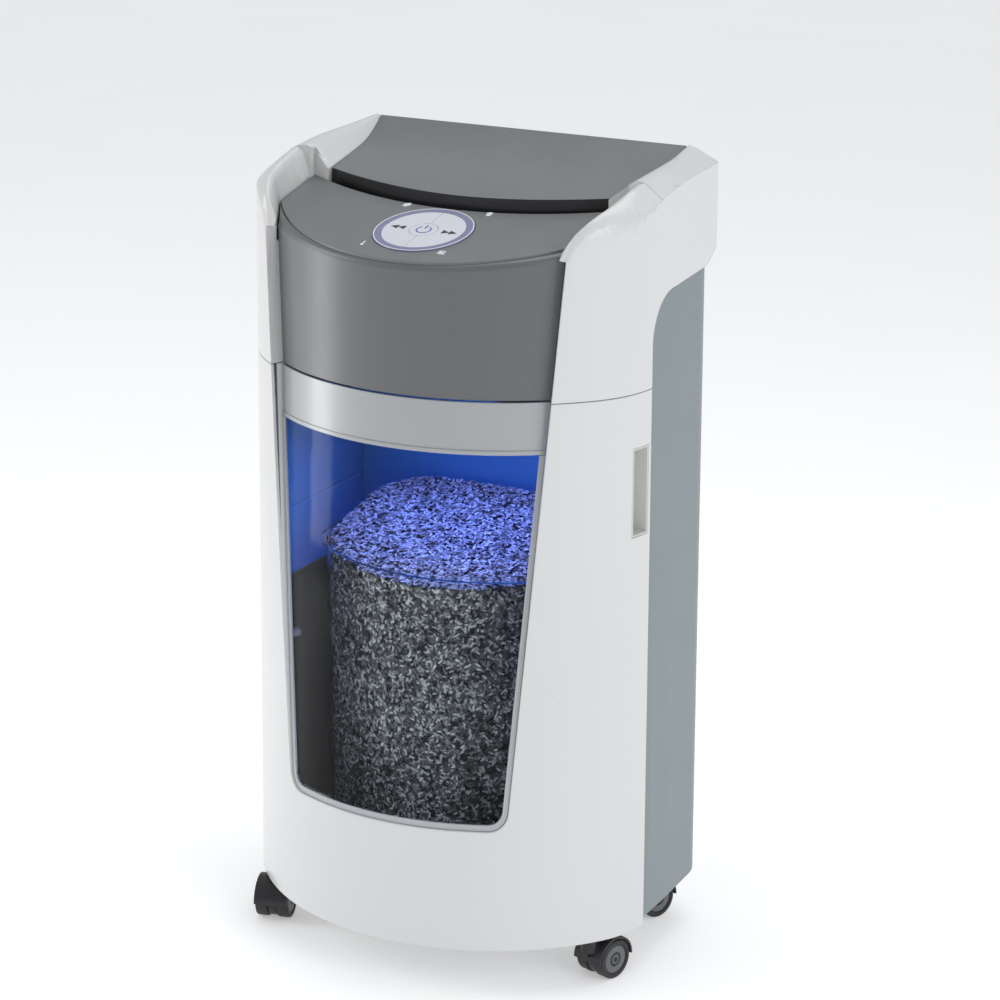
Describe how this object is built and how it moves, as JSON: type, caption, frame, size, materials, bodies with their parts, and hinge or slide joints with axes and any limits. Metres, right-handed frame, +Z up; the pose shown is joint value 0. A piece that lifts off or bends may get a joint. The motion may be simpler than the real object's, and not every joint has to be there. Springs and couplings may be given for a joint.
{
  "type": "paper shredder",
  "caption": "Floor-standing paper shredder on swivel casters, with a pull-out bin drawer behind a bowed window and a round key disc on its sloping control panel.",
  "frame": {"origin": "centre of the footprint, on the floor under the casters", "axes": "+Z up, +Y towards the flat back, -Y towards the window and control panel, +X to the right of a person facing the rear of the head from the front"},
  "size_m": [0.404, 0.3, 0.7555],
  "materials": {
    "casing_grey": "satin",
    "sheet_steel": "satin",
    "inner_white": "satin",
    "lamp_blue": "clear",
    "black_plastic": "satin",
    "bin_clear": "clear",
    "can_aluminium": "satin",
    "wheel_tread": "matte",
    "shell_white": "glossy",
    "board_green": "satin",
    "deck_grey": "matte",
    "bearing_brass": "satin",
    "cutter_steel": "satin",
    "ring_plastic": "glossy",
    "grip_beige": "satin",
    "cover_grey": "satin",
    "gear_steel": "satin",
    "icon_white": "glossy",
    "key_plastic": "glossy",
    "motor_metal": "satin",
    "paper": "matte",
    "band_silver": "satin",
    "pane_blue": "clear",
    "trim_light": "satin"
  },
  "bodies": {
    "cabinet": {"back_panel": "casing_grey", "back_screws": "sheet_steel", "base_plate": "sheet_steel", "bay_rear_frame": "inner_white", "bin_lamps": "lamp_blue", "bin_switch": "black_plastic", "bulkhead": "sheet_steel", "capacitor": "can_aluminium", "cheek_left": "shell_white", "cheek_right": "shell_white", "control_board": "board_green", "control_panel": "deck_grey", "cutter_bearings": "bearing_brass", "cutter_frames": "sheet_steel", "disc_ring": "ring_plastic", "feed_guides": "black_plastic", "head_front_cover": "cover_grey", "indicator_lenses": "icon_white", "mains_inlet": "black_plastic", "motor_body": "motor_metal", "rear_cover": "cover_grey", "rear_deck": "deck_grey", "rocker_housing": "black_plastic", "runners_fixed": "sheet_steel", "side_panel_left": "casing_grey", "side_panel_right": "casing_grey", "stripper_combs": "gear_steel", "tie_rods": "sheet_steel"},
    "drawer": {"drawer_front": "shell_white", "silver_band": "band_silver", "window_trim": "trim_light", "window_pane": "pane_blue", "drawer_tray": "inner_white", "drawer_sides": "inner_white", "drawer_back": "inner_white", "runners_moving": "sheet_steel", "bin_tub": "bin_clear", "paper_shreds": "paper", "grip_cups": "grip_beige"},
    "slide_members": {"runners_middle": "sheet_steel"},
    "key_reverse_body": {"key_reverse": "key_plastic"},
    "key_power_body": {"key_power": "key_plastic"},
    "key_forward_body": {"key_forward": "key_plastic"},
    "rocker_body": {"mains_rocker": "black_plastic"},
    "motor_shaft": {"motor_rotor": "gear_steel"},
    "idler_body": {"idler_gear": "gear_steel"},
    "front_cutter": {"cutter_shaft_front": "cutter_steel", "cutter_discs_front": "cutter_steel", "sync_gear_front": "gear_steel"},
    "rear_cutter": {"cutter_shaft_rear": "cutter_steel", "cutter_discs_rear": "cutter_steel", "sync_gear_rear": "gear_steel"},
    "caster_front_left": {"caster_fork_front_left": "black_plastic"},
    "wheels_front_left": {"caster_wheels_front_left": "wheel_tread"},
    "caster_front_right": {"caster_fork_front_right": "black_plastic"},
    "wheels_front_right": {"caster_wheels_front_right": "wheel_tread"},
    "caster_rear_left": {"caster_fork_rear_left": "black_plastic"},
    "wheels_rear_left": {"caster_wheels_rear_left": "wheel_tread"},
    "caster_rear_right": {"caster_fork_rear_right": "black_plastic"},
    "wheels_rear_right": {"caster_wheels_rear_right": "wheel_tread"}
  },
  "joints": [
    {"name": "drawer_slide", "type": "slide", "parent": "cabinet", "child": "drawer", "axis": [0, -1, 0], "range_m": [0, 0.26]},
    {"name": "middle_runner_slide", "type": "slide", "parent": "cabinet", "child": "slide_members", "axis": [0, -1, 0], "range_m": [0, 0.13]},
    {"name": "reverse_key_press", "type": "slide", "parent": "cabinet", "child": "key_reverse_body", "axis": [0, 0.2195, -0.9756], "range_m": [0, 0.001], "stiffness_N_per_m": 600},
    {"name": "power_key_press", "type": "slide", "parent": "cabinet", "child": "key_power_body", "axis": [0, 0.2195, -0.9756], "range_m": [0, 0.001], "stiffness_N_per_m": 600},
    {"name": "forward_key_press", "type": "slide", "parent": "cabinet", "child": "key_forward_body", "axis": [0, 0.2195, -0.9756], "range_m": [0, 0.001], "stiffness_N_per_m": 600},
    {"name": "mains_switch_rock", "type": "hinge", "parent": "cabinet", "child": "rocker_body", "pos_m": [-0.074, 0.141, 0.118], "axis": [1, 0, 0], "range_deg": [-14, 0]},
    {"name": "front_cutter_spin", "type": "hinge", "parent": "cabinet", "child": "front_cutter", "pos_m": [0, -0.0225, 0.634], "axis": [1, 0, 0], "continuous": true},
    {"name": "rear_cutter_spin", "type": "hinge", "parent": "cabinet", "child": "rear_cutter", "pos_m": [0, 0.0125, 0.634], "axis": [1, 0, 0], "continuous": true},
    {"name": "idler_spin", "type": "hinge", "parent": "cabinet", "child": "idler_body", "pos_m": [0.12, 0.0395, 0.65022], "axis": [1, 0, 0], "continuous": true},
    {"name": "motor_spin", "type": "hinge", "parent": "cabinet", "child": "motor_shaft", "pos_m": [0.05, 0.082, 0.65], "axis": [1, 0, 0], "continuous": true},
    {"name": "swivel_front_left", "type": "hinge", "parent": "cabinet", "child": "caster_front_left", "pos_m": [-0.166, -0.052, 0.05], "axis": [0, 0, 1], "continuous": true},
    {"name": "roll_front_left", "type": "hinge", "parent": "caster_front_left", "child": "wheels_front_left", "pos_m": [-0.16134, -0.06939, 0.019], "axis": [0.9659, 0.2588, 0], "continuous": true},
    {"name": "swivel_front_right", "type": "hinge", "parent": "cabinet", "child": "caster_front_right", "pos_m": [0.168, -0.052, 0.05], "axis": [0, 0, 1], "continuous": true},
    {"name": "roll_front_right", "type": "hinge", "parent": "caster_front_right", "child": "wheels_front_right", "pos_m": [0.17356, -0.03488, 0.019], "axis": [-0.9511, 0.309, 0], "continuous": true},
    {"name": "swivel_rear_left", "type": "hinge", "parent": "cabinet", "child": "caster_rear_left", "pos_m": [-0.148, 0.092, 0.05], "axis": [0, 0, 1], "continuous": true},
    {"name": "roll_rear_left", "type": "hinge", "parent": "caster_rear_left", "child": "wheels_rear_left", "pos_m": [-0.15113, 0.10973, 0.019], "axis": [-0.9848, -0.1736, 0], "continuous": true},
    {"name": "swivel_rear_right", "type": "hinge", "parent": "cabinet", "child": "caster_rear_right", "pos_m": [0.148, 0.092, 0.05], "axis": [0, 0, 1], "continuous": true},
    {"name": "roll_rear_right", "type": "hinge", "parent": "caster_rear_right", "child": "wheels_rear_right", "pos_m": [0.15561, 0.10831, 0.019], "axis": [-0.9063, 0.4226, 0], "continuous": true}
  ],
  "couplings": [
    {"joint": "middle_runner_slide", "follows": "drawer_slide", "ratio": 0.5},
    {"joint": "rear_cutter_spin", "follows": "front_cutter_spin", "ratio": -1},
    {"joint": "idler_spin", "follows": "front_cutter_spin", "ratio": 1.25},
    {"joint": "motor_spin", "follows": "front_cutter_spin", "ratio": -5.8333}
  ]
}
